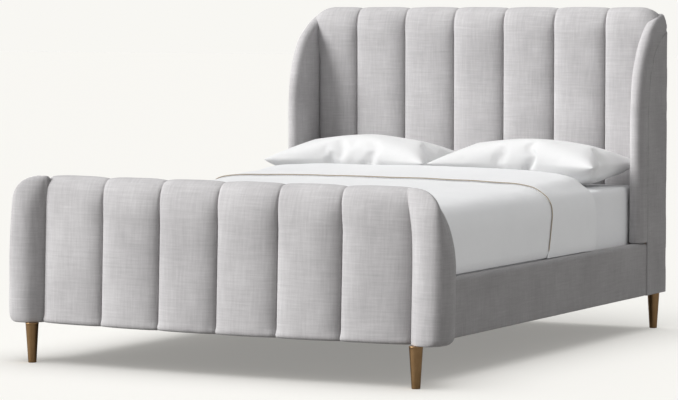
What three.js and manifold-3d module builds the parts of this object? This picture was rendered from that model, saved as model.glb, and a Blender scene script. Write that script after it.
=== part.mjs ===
// Queen sleigh bed: wrap-around channelled footboard, channelled headboard with
// side wings, padded rails, slat base, tapered metal legs, mattress and bedding.
// Millimetres, +Z up. The foot of the bed is toward -Y and the head toward +Y.
import * as THREE from 'three';
import { mergeVertices } from 'three/addons/utils/BufferGeometryUtils.js';
import Module from 'manifold-3d';

const wasm = await Module();
wasm.setup();

// ---------------------------------------------------------------- dimensions
const GAP = 0.3;                    // clearance kept between touching pieces
const BOTTOM = 150;                 // underside of the upholstered frame

// footboard
const FB_SEAMS = [-772, -502, -248, 0, 248, 502, 772];
const FB_BOW = 40;                  // how far the outer seams sit behind the middle one
const FB_CORE_FRONT = 5;
const FB_CORE_BACK = 78;
const FB_ROLL_Z = 540;              // height where the front starts to roll back
const FB_TOP_Z = 662;               // crest of the core
const FB_BACK_Z = 628;              // height where the roll meets the back
const FB_LEAN = 0.04;               // the face comes forward toward the bottom
const FB_SEAM_T = 12;               // padding under a seam
const FB_CROWN_T = 40;              // padding at the middle of a channel
const FB_BACK_PAD = [78.3, 92];
const CORNER_TOP = 700;

// headboard
const HB_SEAMS = [-766, -582.5, -349.5, -116.5, 116.5, 349.5, 582.5, 766];
const HB_CORE = [2172, 2232];
const HB_ROLL_Z = 1200;
const HB_TOP = [2216, 1292];        // crest of the core, Y and Z
const HB_BACK_Z = 1262;
const HB_SEAM_T = 12;
const HB_CROWN_T = 36;
const HB_PAD_BOTTOM = 300;
const HB_REAR = 2246;

// wings
const WING_IN = 766.3;
const WING_OUT = 828;
const WING_ROLL = 75;               // depth of the padded front roll
const WING_BOARD = [790, 820];
const WING_PATH = [                 // crown line of the wing, Y and Z
  [1966, 150], [1966, 870], [1969, 936], [1976, 990], [1990, 1042], [2002, 1080],
  [2018, 1116], [2040, 1152], [2072, 1190], [2114, 1228], [2160, 1266], [2203, 1298], [2246, 1318],
];

// rails, base
const RAIL_BOARD = [785, 810];
const RAIL_OUT = 823;
const RAIL_TOP = 366;
const RAIL_Y = [194.3, 2038];
const LEDGER = [750, 784.7];
const LEDGER_Z = [240, 271.7];
const SLAT_Z = [272, 290];
const SLAT_W = 89;
const SLATS = 10;
const BEAM_Z = [209.7, 271.7];
const CENTRE_LEG_Y = [1290, 1760];

// legs
const LEG_TOP_R = 25;
const LEG_BOTTOM_R = 15.5;
const FRONT_LEG = [806, -6];
const BACK_LEG = [786, 2206];

// bedding
const MATTRESS = { x: 762, y: [100, 2128], z: [290.3, 597] };
const DUVET = { inner: 766, bottom: 374 };
// along the bed: Y, crown height, half width, and how far the shoulder draws in at Z 560 and at Z 598; the foot corners are rounded
const DUVET_TOP = [[98, 628, 773, 0, 5], [104, 638, 775.8, 1, 8], [130, 644, 783.8, 4, 18], [148, 644.2, 789, 6, 26], [700, 646, 789, 6, 26], [1150, 650, 789, 6, 26],
  [1250, 660, 789, 6, 26], [1440, 670, 789, 6, 26], [1550, 678, 789, 6, 26], [1585, 670, 789, 6, 26], [1600, 646, 786, 6, 26]];
const PILLOW = { x: [6, 757], y: [1652, 2126], z: [598, 790] };

// ---------------------------------------------------------------- materials
const fabric = () => new THREE.MeshStandardMaterial({ color: 0xd6d1c9, roughness: 0.92, metalness: 0 });
const fabricBack = () => new THREE.MeshStandardMaterial({ color: 0x8f8a84, roughness: 0.95, metalness: 0 });
const timber = () => new THREE.MeshStandardMaterial({ color: 0xc9ab7c, roughness: 0.7, metalness: 0 });
const brass = () => new THREE.MeshStandardMaterial({ color: 0xa8855a, roughness: 0.32, metalness: 1 });
const steel = () => new THREE.MeshStandardMaterial({ color: 0x6f7276, roughness: 0.4, metalness: 1 });
const black = () => new THREE.MeshStandardMaterial({ color: 0x26272a, roughness: 0.6, metalness: 0.6 });
const rubber = () => new THREE.MeshStandardMaterial({ color: 0x1d1d1f, roughness: 0.85, metalness: 0 });
const linen = (hex) => new THREE.MeshStandardMaterial({ color: hex, roughness: 0.9, metalness: 0 });

// ---------------------------------------------------------------- helpers
const bed = new THREE.Group();
bed.name = 'sleigh_bed';

function add(name, geometry, material) {
  const mesh = new THREE.Mesh(geometry, material);
  mesh.name = name;
  bed.add(mesh);
  return mesh;
}

function clean(geometry) {
  const g = geometry.index ? geometry.toNonIndexed() : geometry;
  g.deleteAttribute('normal');
  if (g.attributes.uv) g.deleteAttribute('uv');
  return mergeVertices(g, 1e-4);
}

function withNormals(geometry) {
  geometry.computeVertexNormals();
  return geometry;
}

function fromTriangles(points, triangles) {
  let volume = 0;
  const a = new THREE.Vector3(), b = new THREE.Vector3(), c = new THREE.Vector3();
  for (const [i, j, k] of triangles) {
    a.fromArray(points[i]); b.fromArray(points[j]); c.fromArray(points[k]);
    volume += a.dot(b.clone().cross(c));
  }
  const flip = volume < 0;
  const geometry = new THREE.BufferGeometry();
  geometry.setAttribute('position', new THREE.Float32BufferAttribute(points.flat(), 3));
  geometry.setIndex(triangles.flatMap(([i, j, k]) => (flip ? [i, k, j] : [i, j, k])));
  return withNormals(geometry);
}

// Closed solid through a list of rings with equal point counts; each end ring is convex.
function loft(rings) {
  const n = rings[0].length;
  const points = rings.flat();
  const tris = [];
  for (let r = 0; r < rings.length - 1; r++) {
    for (let i = 0; i < n; i++) {
      const j = (i + 1) % n;
      const p = r * n + i, q = r * n + j, s = (r + 1) * n + i, t = (r + 1) * n + j;
      tris.push([p, q, t], [p, t, s]);
    }
  }
  const last = (rings.length - 1) * n;
  for (let i = 1; i < n - 1; i++) {
    tris.push([0, i + 1, i]);
    tris.push([last, last + i, last + i + 1]);
  }
  return fromTriangles(points, tris);
}

function box(x, y, z) {
  const g = new THREE.BoxGeometry(x[1] - x[0], y[1] - y[0], z[1] - z[0]);
  g.translate((x[0] + x[1]) / 2, (y[0] + y[1]) / 2, (z[0] + z[1]) / 2);
  return g;
}

// Prism: outline in (Y, Z) pushed along X.
function prismYZ(outline, x0, x1) {
  return loft([x0, x1].map((x) => outline.map(([y, z]) => [x, y, z])));
}

// Prism with any outline in (X, Z), along Y.
function prismXZ(outline, y0, y1) {
  const shape = new THREE.Shape(outline.map(([x, z]) => new THREE.Vector2(x, z)));
  const g = new THREE.ExtrudeGeometry(shape, { depth: y1 - y0, bevelEnabled: false });
  g.rotateX(Math.PI / 2);
  g.translate(0, y1, 0);
  return g;
}

function toManifold(geometry) {
  const g = clean(geometry.clone());
  return new wasm.Manifold(new wasm.Mesh({
    numProp: 3,
    vertProperties: new Float32Array(g.attributes.position.array),
    triVerts: new Uint32Array(g.index.array),
  }));
}

function fromManifold(solid) {
  const mesh = solid.getMesh();
  const g = new THREE.BufferGeometry();
  g.setAttribute('position', new THREE.BufferAttribute(new Float32Array(mesh.vertProperties), 3));
  g.setIndex(new THREE.BufferAttribute(new Uint32Array(mesh.triVerts), 1));
  return withNormals(g.toNonIndexed());
}

function carve(geometry, ...cuts) {
  let solid = toManifold(geometry);
  for (const cut of cuts) solid = solid.subtract(toManifold(cut));
  return fromManifold(solid);
}

function common(a, b) {
  return fromManifold(toManifold(a).intersect(toManifold(b)));
}

function mirrorX(geometry) {
  const g = (geometry.index ? geometry.toNonIndexed() : geometry).clone();
  const p = g.attributes.position;
  for (let i = 0; i < p.count; i++) p.setX(i, -p.getX(i));
  for (let t = 0; t < p.count; t += 3) {
    const b = [p.getX(t + 1), p.getY(t + 1), p.getZ(t + 1)];
    p.setXYZ(t + 1, p.getX(t + 2), p.getY(t + 2), p.getZ(t + 2));
    p.setXYZ(t + 2, ...b);
  }
  return withNormals(g);
}

const lerp = (a, b, t) => a + (b - a) * t;
const smooth = (t) => { const u = Math.min(1, Math.max(0, t)); return u * u * (3 - 2 * u); };

// Piecewise-straight value between the seams, so a core and its pads share flat faces.
function alongSeams(seams, f, x) {
  const s = Math.min(seams[seams.length - 1], Math.max(seams[0], x));
  for (let i = 0; i < seams.length - 1; i++) {
    if (s <= seams[i + 1]) {
      const t = (s - seams[i]) / (seams[i + 1] - seams[i]);
      return lerp(f(seams[i]), f(seams[i + 1]), t);
    }
  }
  return f(s);
}

// ---------------------------------------------------------------- footboard
const fbBow = (x) => FB_CORE_FRONT + FB_BOW * (x / 772) ** 2;
const fbFront = (x, z) => alongSeams(FB_SEAMS, fbBow, x) + FB_LEAN * (z - 400);

// Stations along a line that runs up the front, rolls back over the crest and comes down
// behind: point and outward normal in (Y, Z), and k from 0 in front to 1 behind.
function rollStations({ straight, front, crest, back, end }, offset, slack) {
  const list = straight.map(([y, z]) => ({ y: y - offset * 1.2, z, ny: -1, nz: 0, k: 0 }));
  const quarter = (a, b, from, steps, k0) => {
    for (let i = 1; i <= steps; i++) {
      const p = from + (Math.PI / 2) * (i / steps);
      let ny = -Math.cos(p) / a, nz = Math.sin(p) / b;
      const l = Math.hypot(ny, nz); ny /= l; nz /= l;
      // the crest is slightly twisted between seams, so its clearance is larger
      const o = from > 0 && i === steps ? offset * 2 : offset * slack;
      list.push({ y: crest[0] - a * Math.cos(p) + ny * o, z: crest[1] - b + b * Math.sin(p) + nz * o, ny, nz, k: k0 + (0.5 * i) / steps });
    }
  };
  quarter(crest[0] - front[0], crest[1] - front[1], 0, 6, 0);
  quarter(back[0] - crest[0], crest[1] - back[1], Math.PI / 2, 4, 0.5);
  list.push({ y: end[0] + offset * 2, z: end[1], ny: 1, nz: 0, k: 1 });
  return list;
}

function fbStations(x, offset) {
  const straight = [BOTTOM, 175, 300, 420, FB_ROLL_Z].map((z) => [fbFront(x, z) - (offset && z === FB_ROLL_Z ? 0.6 : 0), z]);
  const crest = [alongSeams(FB_SEAMS, (s) => 58 + 12 * (s / 772) ** 2, x), FB_TOP_Z];
  return rollStations({ straight, front: [fbFront(x, FB_ROLL_Z), FB_ROLL_Z], crest, back: [FB_CORE_BACK, FB_BACK_Z], end: [FB_CORE_BACK, 612] }, offset, 10);
}

function channel(seams, i, stationsAt, thickness, backLimit = 1e6) {
  const x0 = seams[i] + 0.2, x1 = seams[i + 1] - 0.2;
  const N = 7;
  const columns = [];
  for (let c = 0; c < N; c++) {
    const t = c / (N - 1);
    const x = lerp(x0, x1, t);
    const crown = Math.pow(Math.max(0, Math.sin(Math.PI * t)), 0.5);
    columns.push({ x, crown, st: stationsAt(x, GAP) });
  }
  const rings = columns[0].st.map((_, s) => {
    const ring = columns.map(({ x, crown, st }) => {
      const p = st[s];
      const t = thickness(s, st.length, crown, p.k);
      return [x, Math.min(p.y + p.ny * t, backLimit), p.z + p.nz * t];
    });
    const a = columns[N - 1].st[s], b = columns[0].st[s];
    ring.push([columns[N - 1].x, a.y, a.z], [columns[0].x, b.y, b.z]);
    return ring;
  });
  return loft(rings);
}

// padding depth: full in front, seams shallow over the crest, thin at the back
function pad(seamT, crownT) {
  return (s, n, crown, k) => {
    const seam = lerp(seamT, crownT * 0.8, Math.sin(Math.PI * Math.min(1, k)));
    const back = smooth((k - 0.6) / 0.4);
    const full = lerp(seam, crownT, crown);
    const t = lerp(full, seamT + 1.5, back);
    return s === 0 ? t * 0.78 : t;
  };
}

const fbThickness = pad(FB_SEAM_T, FB_CROWN_T);
for (let i = 0; i < 6; i++) {
  add(`footboard_channel_${i + 2}`, channel(FB_SEAMS, i, fbStations, fbThickness, FB_BACK_PAD[1]), fabric());
}

{
  const xs = FB_SEAMS.map((x) => Math.sign(x) * Math.min(Math.abs(x), 771.7));
  const rings = xs.map((x) => {
    const st = fbStations(x, 0).slice(0, -1).filter((p) => p.z !== 300 && p.z !== 420 && p.z !== 175);
    const ring = st.map((p) => [x, p.y, p.z]);
    ring.push([x, FB_CORE_BACK, BOTTOM]);
    return ring;
  });
  add('footboard_core', loft(rings), timber());
}
add('footboard_back_pad', box([-771.5, 771.5], FB_BACK_PAD, [300, 608]), fabric());

// Corner: plan outline of the solid former and of the padding around it, then the
// falling dome that both follow above the rail.
const CORNER_INNER = [[772.3, 45], [782, 20], [796, 4], [814, -6], [838, -6], [864, 2], [882, 24], [890, 56], [888, 90], [876, 124], [858, 150], [838, 174], [824, 191]];
const CORNER_OUTER = [[772.3, 33], [780, 8], [792, -10], [812, -22], [840, -24], [878, -14], [902, 12], [910, 45], [908, 85], [896, 125], [878, 155], [858, 180], [834, 192]];
function cornerDome(outline, x0, top, roll) {
  const cy = 60;
  const levels = [0, 0.05, 0.5, 0.62, 0.72, 0.8, 0.87, 0.93, 0.97, 1];
  return loft(levels.map((f) => {
    const z = lerp(BOTTOM, top, f);
    // the rear falls away as a quarter ellipse and the crest rolls in toward the seam
    const u = Math.max(0, (z - 400) / (top - 400));
    const rear = Math.sqrt(1 - (u * 0.94) ** 2);
    const r = Math.max(0, (z - (top - roll)) / roll);
    const s = f === 0 ? 0.95 : (1 - (0.975 * r) ** 2.5) ** 0.42;
    const ring = outline.map(([x, y]) => {
      const yy = y > 60 ? 60 + (y - 60) * rear : y;
      const lean = FB_LEAN * (z - 400) * Math.max(0, Math.min(1, (150 - y) / 120));
      return [x0 + (x - x0) * s, cy + (yy - cy) * s + lean, z];
    });
    ring.push([x0, ring[ring.length - 1][1], z]);
    return ring;
  }));
}
{
  const inside = cornerDome(CORNER_INNER, 772.3, 664, 112);
  const outside = cornerDome(CORNER_OUTER, 772.3, CORNER_TOP, 140);
  const matCut = box([700, 793], [78.4, 260], [100, 760]);
  const rearCut = box([700, 960], [190.9, 260], [100, 760]);
  const former = carve(inside, matCut, rearCut);
  const grown = inside.clone();
  grown.translate(-820, -90, -400);
  grown.scale(1.006, 1.004, 1.0014);
  grown.translate(820, 90, 400);
  const slab = box([700, 870], [-60, 240], [100, 151]);
  const low = grown.clone();
  low.translate(0, 0, -30);
  const cover = carve(outside, grown, common(slab, low), matCut, rearCut);
  add('footboard_return_right', former, timber());
  add('footboard_return_left', mirrorX(former), timber());
  add('footboard_channel_8', cover, fabric());
  add('footboard_channel_1', mirrorX(cover), fabric());
}

// ---------------------------------------------------------------- headboard
function hbStations(x, offset) {
  const straight = [HB_PAD_BOTTOM, 340, 640, 960, HB_ROLL_Z].map((z) => [HB_CORE[0], z]);
  return rollStations({ straight, front: [HB_CORE[0], HB_ROLL_Z], crest: HB_TOP, back: [HB_CORE[1], HB_BACK_Z], end: [HB_CORE[1], 1240] }, offset, 1.5);
}
const hbThickness = pad(HB_SEAM_T, HB_CROWN_T);
for (let i = 0; i < 7; i++) {
  add(`headboard_channel_${i + 1}`, channel(HB_SEAMS, i, hbStations, hbThickness), fabric());
}
{
  const outline = [[HB_CORE[0], BOTTOM], [HB_CORE[0], HB_ROLL_Z]];
  hbStations(0, 0).slice(5, -1).forEach((p) => outline.push([p.y, p.z]));
  outline.push([HB_CORE[1], BOTTOM]);
  const slab = prismYZ(outline, -789.7, 789.7);
  const face = prismXZ([[-789.7, 140], [789.7, 140], [789.7, 1120], [765.7, 1150], [765.7, 1300], [-765.7, 1300], [-765.7, 1150], [-789.7, 1120]], 2100, 2300);
  add('headboard_core', common(slab, face), timber());
  add('headboard_back_cover', box([-819.5, 819.5], [2232.4, 2238], [156, 1238]), fabricBack());
}

// Wings: one padded outline, cut into roll with inner face, board and outer cover.
function insetPath(path, d) {
  return path.map(([y, z], i) => {
    const a = path[Math.max(0, i - 1)], b = path[Math.min(path.length - 1, i + 1)];
    let ty = b[0] - a[0], tz = b[1] - a[1];
    const l = Math.hypot(ty, tz); ty /= l; tz /= l;
    return [y + tz * d, i === 0 ? z : z - ty * d];
  });
}
function wingOutline(d, rear) {
  const p = insetPath(WING_PATH, d);
  p[p.length - 1][0] = rear;
  p.push([rear, BOTTOM]);
  return p.map(([y, z]) => [Math.min(y, rear), z]);
}
{
  const mid = (WING_IN + WING_OUT) / 2, half = (WING_OUT - WING_IN) / 2;
  const xs = [-1, -0.9, -0.62, -0.25, 0.25, 0.62, 0.9, 1].map((t) => mid + half * t);
  const whole = loft(xs.map((x) => {
    const t = (x - mid) / half;
    const round = 1 - Math.sqrt(Math.max(0, 1 - (t * 0.985) ** 2));
    const side = wingOutline(34 * round, HB_REAR - 12 * round);
    // toward the top the roll runs out level on the inside and turns down further outside
    const top = wingOutline(t < 0 ? 3 * round : 6 + 74 * Math.max(0, t) ** 2.2, HB_REAR - 12 * round);
    return side.map(([y, z], i) => {
      const fade = i < 13 ? smooth((i - 5) / 7) : 0;
      return [x, lerp(y, top[i][0], fade), lerp(z, top[i][1], fade)];
    });
  }));
  // everything behind the padded roll, seen from the side
  const behind = (d, bottom) => {
    const p = insetPath(WING_PATH, d);
    p[0][1] = bottom;
    p.push([2300, p[p.length - 1][1] + 12], [2300, bottom]);
    return p;
  };
  const board = common(prismYZ(behind(WING_ROLL + GAP, BOTTOM), ...WING_BOARD), box([700, 900], [1900, HB_CORE[1]], [0, 1400]));
  const cover = common(whole, prismYZ(behind(WING_ROLL + GAP, BOTTOM), WING_BOARD[1] + GAP, 900));
  const hole = behind(WING_ROLL, 100);
  const railCut = box([700, 900], [1900, WING_PATH[0][0] + WING_ROLL], [100, RAIL_TOP + 2]);
  const coreCut = box([700, 790], [HB_CORE[0] - GAP, 2300], [100, 1152]);
  const coreTop = box([700, 766], [HB_CORE[0] - GAP, 2300], [100, 1400]);
  const backCut = box([700, 900], [HB_CORE[1] + GAP, 2300], [100, 1240]);
  const pads = carve(whole, prismYZ(hole, WING_BOARD[0] - GAP, 900), railCut, coreCut, coreTop, backCut);
  for (const [side, make] of [['right', (g) => g], ['left', mirrorX]]) {
    add(`headboard_wing_pad_${side}`, make(pads), fabric());
    add(`headboard_wing_board_${side}`, make(board), timber());
    add(`headboard_side_cover_${side}`, make(cover), fabric());
  }
}

// ---------------------------------------------------------------- rails and slat base
for (const [side, s] of [['right', 1], ['left', -1]]) {
  const sx = (a, b) => (s > 0 ? [a, b] : [-b, -a]);
  add(`side_rail_board_${side}`, box(sx(...RAIL_BOARD), RAIL_Y, [BOTTOM, 351]), timber());
  const lip = [[RAIL_BOARD[1] + GAP, 150], [RAIL_OUT - 3, 150], [RAIL_OUT, 154], [RAIL_OUT, RAIL_TOP - 10], [RAIL_OUT - 3, RAIL_TOP - 3], [RAIL_OUT - 10, RAIL_TOP],
    [782, RAIL_TOP], [778, RAIL_TOP - 3], [776, RAIL_TOP - 8], [776, 351.3], [RAIL_BOARD[1] + GAP, 351.3]];
  const g = prismXZ(s > 0 ? lip : lip.map(([x, z]) => [-x, z]).reverse(), RAIL_Y[0] - 1.6, RAIL_Y[1] + 2.4);
  add(`side_rail_pad_${side}`, g, fabric());
  add(`slat_ledger_${side}`, box(sx(...LEDGER), [200, 2036], LEDGER_Z), timber());
  add(`rail_hook_plate_foot_${side}`, box(sx(793.5, 809.8), [191.4, 194], [185, 325]), steel());
  add(`rail_hook_plate_head_${side}`, box(sx(790, 809.8), [2038.3, 2041], [185, 325]), steel());
}
for (let i = 0; i < SLATS; i++) {
  const y = lerp(206, 2030 - SLAT_W, i / (SLATS - 1));
  add(`slat_${String(i + 1).padStart(2, '0')}`, box([-783, 783], [y, y + SLAT_W], SLAT_Z), timber());
}
add('center_beam', box([-22, 22], [FB_CORE_BACK + GAP, HB_CORE[0] - GAP], BEAM_Z), timber());

const lathe = (profile, x, y, n = 24) => {
  const g = new THREE.LatheGeometry(profile.map(([r, z]) => new THREE.Vector2(r, z)), n);
  g.rotateX(Math.PI / 2);
  g.translate(x, y, 0);
  return clean(g);
};
CENTRE_LEG_Y.forEach((y, i) => {
  add(`center_leg_${i + 1}`, withNormals(lathe([[0, 95], [5.4, 95], [5.4, 28], [20, 28], [20, 209.4], [0, 209.4]], 0, y)), black());
  add(`center_leg_leveler_${i + 1}`, withNormals(lathe([[0, 0], [21, 0], [22, 2], [22, 8], [18, 11], [5, 12], [5, 62], [0, 62]], 0, y, 20)), rubber());
});

// ---------------------------------------------------------------- legs
for (const [name, x, y] of [['leg_front_right', ...FRONT_LEG], ['leg_front_left', -FRONT_LEG[0], FRONT_LEG[1]],
  ['leg_back_right', ...BACK_LEG], ['leg_back_left', -BACK_LEG[0], BACK_LEG[1]]]) {
  const p = [[0, 0], [LEG_BOTTOM_R - 1.5, 0], [LEG_BOTTOM_R, 1.5], [LEG_TOP_R - 0.6, 145], [LEG_TOP_R, 147], [LEG_TOP_R, BOTTOM - GAP], [0, BOTTOM - GAP]];
  add(name, withNormals(lathe(p, x, y, 32)), brass());
}

// ---------------------------------------------------------------- mattress and bedding
{
  const { x, y, z } = MATTRESS;
  const plan = (inset, zz) => {
    const ring = [];
    const r = 46 - inset * 0.4, X = x - inset, Y0 = y[0] + inset, Y1 = y[1] - inset;
    for (const [cx, cy, a0] of [[X - r, Y1 - r, 0], [-X + r, Y1 - r, 90], [-X + r, Y0 + r, 180], [X - r, Y0 + r, 270]]) {
      for (let i = 0; i <= 5; i++) {
        const a = ((a0 + i * 18) * Math.PI) / 180;
        ring.push([cx + r * Math.cos(a), cy + r * Math.sin(a), zz]);
      }
    }
    return ring;
  };
  add('mattress', loft([plan(16, z[0]), plan(4, z[0] + 8), plan(0, z[0] + 22), plan(0, z[1] - 24), plan(5, z[1] - 9), plan(20, z[1])]), linen(0xf3f2ef));
}
{
  const { inner, bottom } = DUVET;
  const rings = DUVET_TOP.map(([y, top, w, high, shoulder]) => {
    const h = top - 598;
    const half = [[w - 3, bottom], [w, bottom + 6], [w, 520], [w - high, 560], [w - shoulder, 598],
      [700, 598 + 0.52 * h], [590, 598 + 0.84 * h], [420, 598 + 0.95 * h], [200, top]];
    return [...half, ...half.map(([x, z]) => [-x, z]).reverse()].map(([x, z]) => [x, y, z]);
  });
  const space = prismXZ([[-inner - 3, 300], [inner + 3, 300], [inner + 3, bottom], [inner, bottom + 5], [inner, 580], [inner - 6, 594], [inner - 20, 598.6],
    [-inner + 20, 598.6], [-inner + 6, 594], [-inner, 580], [-inner, bottom + 5], [-inner - 3, bottom]], 0, 1800);
  add('duvet', carve(loft(rings), space), linen(0xf6f5f3));
}
for (const [name, s] of [['pillow_right', 1], ['pillow_left', -1]]) {
  const { x, y, z } = PILLOW;
  const cx = (x[0] + x[1]) / 2, cy = (y[0] + y[1]) / 2, cz = (z[0] + z[1]) / 2;
  const hx = (x[1] - x[0]) / 2, hy = (y[1] - y[0]) / 2, hz = (z[1] - z[0]) / 2;
  const rings = [-1, -0.86, -0.55, -0.15, 0.2, 0.55, 0.84, 1].map((v) => {
    const w = Math.sqrt(Math.max(0, 1 - Math.abs(v) ** 2.6));
    const k = 0.5 + 0.5 * w;
    const ring = [];
    for (let i = 0; i < 24; i++) {
      const a = (2 * Math.PI * (i + 0.5)) / 24;
      const c = Math.cos(a), d = Math.sin(a);
      const e = (q) => Math.sign(q) * Math.abs(q) ** 0.42;
      ring.push([s * (cx + hx * k * e(c)), cy + hy * k * e(d), cz + hz * v]);
    }
    return ring;
  });
  add(name, loft(rings), linen(0xf8f7f5));
}

// The origin is under the middle of the whole object, on the floor.
const extent = new THREE.Box3().setFromObject(bed, true);
bed.position.y = -(extent.min.y + extent.max.y) / 2;

export default bed;
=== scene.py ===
# Sleigh bed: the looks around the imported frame. Metres, row frame, foot toward -Y.
import math
import bpy
import bmesh
import numpy as np
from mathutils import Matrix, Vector, noise


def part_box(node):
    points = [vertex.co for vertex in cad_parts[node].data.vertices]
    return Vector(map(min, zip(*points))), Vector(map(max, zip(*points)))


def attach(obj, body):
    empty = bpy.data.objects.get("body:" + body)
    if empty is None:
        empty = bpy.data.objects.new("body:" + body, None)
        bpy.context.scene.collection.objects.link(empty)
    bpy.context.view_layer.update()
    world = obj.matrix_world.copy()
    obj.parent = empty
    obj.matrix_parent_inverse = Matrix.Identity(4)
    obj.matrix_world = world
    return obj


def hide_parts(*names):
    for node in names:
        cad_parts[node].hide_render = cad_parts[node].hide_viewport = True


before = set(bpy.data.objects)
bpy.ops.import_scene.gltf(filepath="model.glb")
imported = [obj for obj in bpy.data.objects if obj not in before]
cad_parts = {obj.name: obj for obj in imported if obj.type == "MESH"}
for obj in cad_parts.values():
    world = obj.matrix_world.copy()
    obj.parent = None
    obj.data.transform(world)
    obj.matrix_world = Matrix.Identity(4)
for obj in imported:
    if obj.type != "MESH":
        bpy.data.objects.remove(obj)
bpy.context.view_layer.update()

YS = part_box("center_beam")[0][1] - 0.0783      # build frame (mm from the footboard's seam plane) to row frame
PI = math.pi


# ------------------------------------------------------------------ materials
def nodes_of(name):
    m = bpy.data.materials.new(name)
    m.use_nodes = True
    nt = m.node_tree
    return m, nt, nt.nodes["Principled BSDF"]


def N(nt, kind, **kw):
    n = nt.nodes.new(kind)
    for k, v in kw.items():
        if k.startswith("in_"):
            key = k[3:]
            key = int(key) if key.isdigit() else key.replace("_", " ")
            n.inputs[key].default_value = v
        else:
            setattr(n, k, v)
    return n


def L(nt, a, b):
    nt.links.new(a, b)


def math_node(nt, op, a, b=None, c=None):
    n = nt.nodes.new("ShaderNodeMath")
    n.operation = op
    for i, v in enumerate((a, b, c)):
        if v is None:
            continue
        if isinstance(v, (int, float)):
            n.inputs[i].default_value = v
        else:
            nt.links.new(v, n.inputs[i])
    return n.outputs[0]


def surface_uv(nt):
    """Two coordinates that run along the cloth, whichever way the surface faces, in metres."""
    tc = N(nt, "ShaderNodeTexCoord")
    sp = N(nt, "ShaderNodeSeparateXYZ")
    L(nt, tc.outputs["Object"], sp.inputs[0])
    sn = N(nt, "ShaderNodeSeparateXYZ")
    L(nt, tc.outputs["Normal"], sn.inputs[0])
    x, y, z = sp.outputs
    ax = math_node(nt, "GREATER_THAN", math_node(nt, "ABSOLUTE", sn.outputs[0]), 0.72)
    az = math_node(nt, "GREATER_THAN", math_node(nt, "ABSOLUTE", sn.outputs[2]), 0.72)
    u = math_node(nt, "ADD", math_node(nt, "MULTIPLY", x, math_node(nt, "SUBTRACT", 1.0, ax)), math_node(nt, "MULTIPLY", y, ax))
    v = math_node(nt, "ADD", math_node(nt, "MULTIPLY", z, math_node(nt, "SUBTRACT", 1.0, az)), math_node(nt, "MULTIPLY", y, az))
    return tc, u, v


def combine(nt, a, b, c=0.0):
    n = nt.nodes.new("ShaderNodeCombineXYZ")
    for i, v in enumerate((a, b, c)):
        if isinstance(v, (int, float)):
            n.inputs[i].default_value = v
        else:
            nt.links.new(v, n.inputs[i])
    return n.outputs[0]


def noise_at(nt, vec, scale, detail=2.0, rough=0.5, dist=0.0):
    n = N(nt, "ShaderNodeTexNoise", in_Scale=scale, in_Detail=detail, in_Roughness=rough, in_Distortion=dist)
    L(nt, vec, n.inputs["Vector"])
    return n.outputs["Fac"]


def ramp(nt, fac, stops):
    r = nt.nodes.new("ShaderNodeValToRGB")
    el = r.color_ramp.elements
    while len(el) < len(stops):
        el.new(0.5)
    for e, (p, c) in zip(el, stops):
        e.position = p
        e.color = (*c, 1.0)
    nt.links.new(fac, r.inputs[0])
    return r.outputs[0]


def linen(name, dark, mid, light, pitch=0.0017, streak=0.72, bump=0.5, rough=0.9, sheen=0.3):
    """Plain-weave upholstery cloth: crossed slubs, a fine weave and a soft mottling."""
    m, nt, b = nodes_of(name)
    tc, u, v = surface_uv(nt)
    warp = noise_at(nt, combine(nt, math_node(nt, "MULTIPLY", u, 420.0), math_node(nt, "MULTIPLY", v, 16.0)), 1.0, 3.0, 0.6)
    weft = noise_at(nt, combine(nt, math_node(nt, "MULTIPLY", u, 16.0), math_node(nt, "MULTIPLY", v, 420.0), 3.7), 1.0, 3.0, 0.6)
    broad = noise_at(nt, tc.outputs["Object"], 5.0, 3.0, 0.5)
    long_u = noise_at(nt, combine(nt, math_node(nt, "MULTIPLY", u, 120.0), math_node(nt, "MULTIPLY", v, 9.0), 8.1), 1.0, 2.0, 0.6)
    long_v = noise_at(nt, combine(nt, math_node(nt, "MULTIPLY", u, 9.0), math_node(nt, "MULTIPLY", v, 150.0), 5.3), 1.0, 2.0, 0.6)
    fine = math_node(nt, "MULTIPLY", math_node(nt, "ADD", warp, weft), 0.5)
    coarse = math_node(nt, "MULTIPLY", math_node(nt, "ADD", long_u, long_v), 0.5)
    slub = math_node(nt, "ADD", math_node(nt, "MULTIPLY", fine, 0.45), math_node(nt, "MULTIPLY", coarse, 0.55))
    k = 2 * PI / pitch
    wu = math_node(nt, "SINE", math_node(nt, "MULTIPLY", u, k))
    wv = math_node(nt, "SINE", math_node(nt, "MULTIPLY", v, k))
    weave = math_node(nt, "MULTIPLY", wu, wv)
    tone = math_node(nt, "ADD", math_node(nt, "MULTIPLY", slub, streak), math_node(nt, "MULTIPLY", broad, 1.0 - streak))
    tone = math_node(nt, "ADD", tone, math_node(nt, "MULTIPLY", weave, 0.025))
    L(nt, ramp(nt, tone, [(0.34, dark), (0.5, mid), (0.66, light)]), b.inputs["Base Color"])
    h = math_node(nt, "ADD", math_node(nt, "MULTIPLY", weave, 0.35), math_node(nt, "MULTIPLY", slub, 1.6))
    bp = N(nt, "ShaderNodeBump", in_Strength=bump, in_Distance=0.0006)
    L(nt, h, bp.inputs["Height"])
    L(nt, bp.outputs[0], b.inputs["Normal"])
    L(nt, math_node(nt, "MULTIPLY_ADD", slub, 0.12, rough - 0.06), b.inputs["Roughness"])
    b.inputs["Sheen Weight"].default_value = sheen
    b.inputs["Sheen Roughness"].default_value = 0.45
    b.inputs["Specular IOR Level"].default_value = 0.25
    return m


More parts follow.
